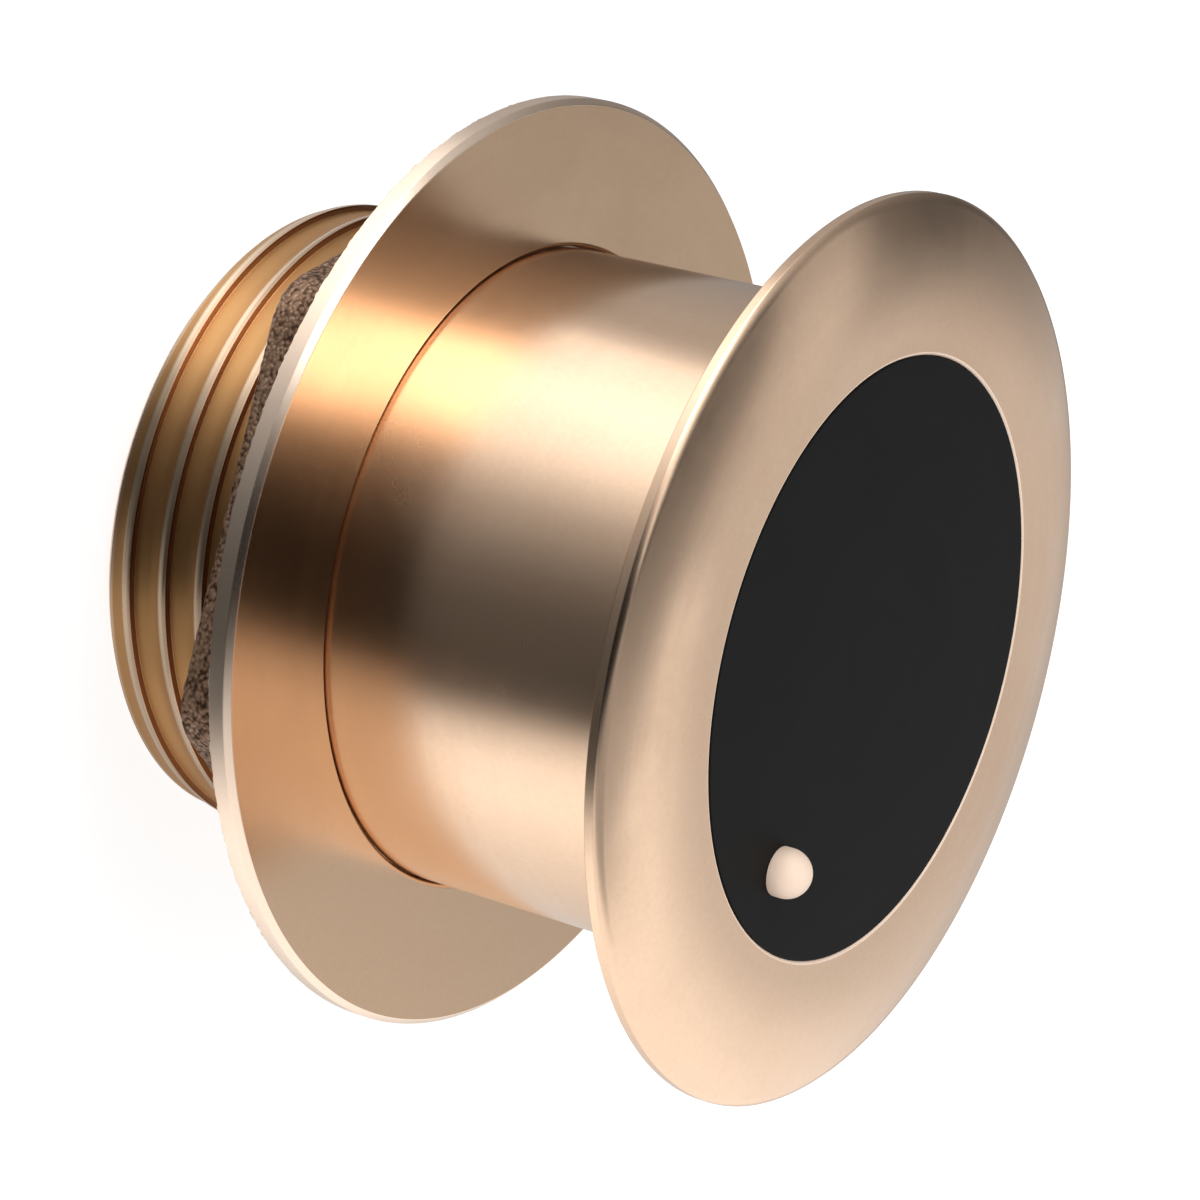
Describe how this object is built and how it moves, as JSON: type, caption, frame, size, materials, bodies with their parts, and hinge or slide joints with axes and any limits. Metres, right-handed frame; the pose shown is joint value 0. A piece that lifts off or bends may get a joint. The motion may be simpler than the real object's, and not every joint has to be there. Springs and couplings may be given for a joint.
{
  "type": "sonar transducer",
  "caption": "Bronze through-hull sonar transducer: round flanged head with a black acoustic window, coarse-threaded stem and a cast hexagonal hull nut with a turned clamping disc.",
  "frame": {"origin": "on the stem's axis, in the plane of the inboard rim, which the part stands on: the middle of the bottom of its box", "axes": "+Z runs along the stem from the inboard, threaded end to the sonar face, so the face looks up. +X points from the axis to the temperature button in the face. Installed, the part hangs the other way up, with +Z towards the sea."},
  "size_m": [0.135, 0.135, 0.1027],
  "materials": {
    "bronze": "turned silicon bronze, satin, fine turning lines",
    "nut_bronze": "cast bronze, turned disc face and rim, hexagon left as cast",
    "window_compound": "black cast polyurethane, smooth matte",
    "matching_resin": "filled epoxy, matte",
    "foil": "bare copper foil",
    "piezo_ceramic": "ground lead zirconate titanate, matte",
    "frame_moulding": "glass-filled nylon, matte",
    "cork": "pressed cork and rubber sheet, rough",
    "ferrite": "ferrite, matte",
    "magnet_wire": "enamelled copper wire, gloss",
    "board_laminate": "glass-epoxy laminate with green solder mask",
    "spacer_nylon": "natural nylon",
    "chip_epoxy": "black moulding epoxy",
    "film_capacitor": "dipped epoxy, gloss",
    "tinned_pin": "tinned brass, satin",
    "lead_red": "red insulated wire",
    "lead_black": "black insulated wire",
    "lead_white": "white sheathed wire",
    "potting_compound": "polyurethane potting, dull black",
    "thermistor_bead": "epoxy bead, gloss",
    "gland_brass": "turned brass, satin",
    "seal_rubber": "black nitrile rubber"
  },
  "bodies": {
    "root": {"housing": "bronze", "hull_nut": "nut_bronze", "acoustic_window": "window_compound", "temperature_button": "bronze", "thermistor": "thermistor_bead", "sensor_lead": "lead_white", "matching_plate": "matching_resin", "front_electrode": "foil", "back_electrode": "foil", "ceramic_element_1": "piezo_ceramic", "ceramic_element_2": "piezo_ceramic", "ceramic_element_3": "piezo_ceramic", "ceramic_element_4": "piezo_ceramic", "ceramic_element_5": "piezo_ceramic", "ceramic_element_6": "piezo_ceramic", "ceramic_element_7": "piezo_ceramic", "element_frame": "frame_moulding", "isolation_sleeve": "cork", "backing_pad": "cork", "transformer_core": "ferrite", "primary_winding": "magnet_wire", "secondary_winding": "magnet_wire", "circuit_board": "board_laminate", "board_spacers": "spacer_nylon", "identification_chip": "chip_epoxy", "tuning_capacitor": "film_capacitor", "terminal_pins": "tinned_pin", "live_lead": "lead_red", "return_lead": "lead_black", "potting": "potting_compound", "gland_body": "gland_brass", "gland_ring_seal": "seal_rubber", "gland_seal": "seal_rubber", "gland_nut": "gland_brass"}
  },
  "joints": []
}
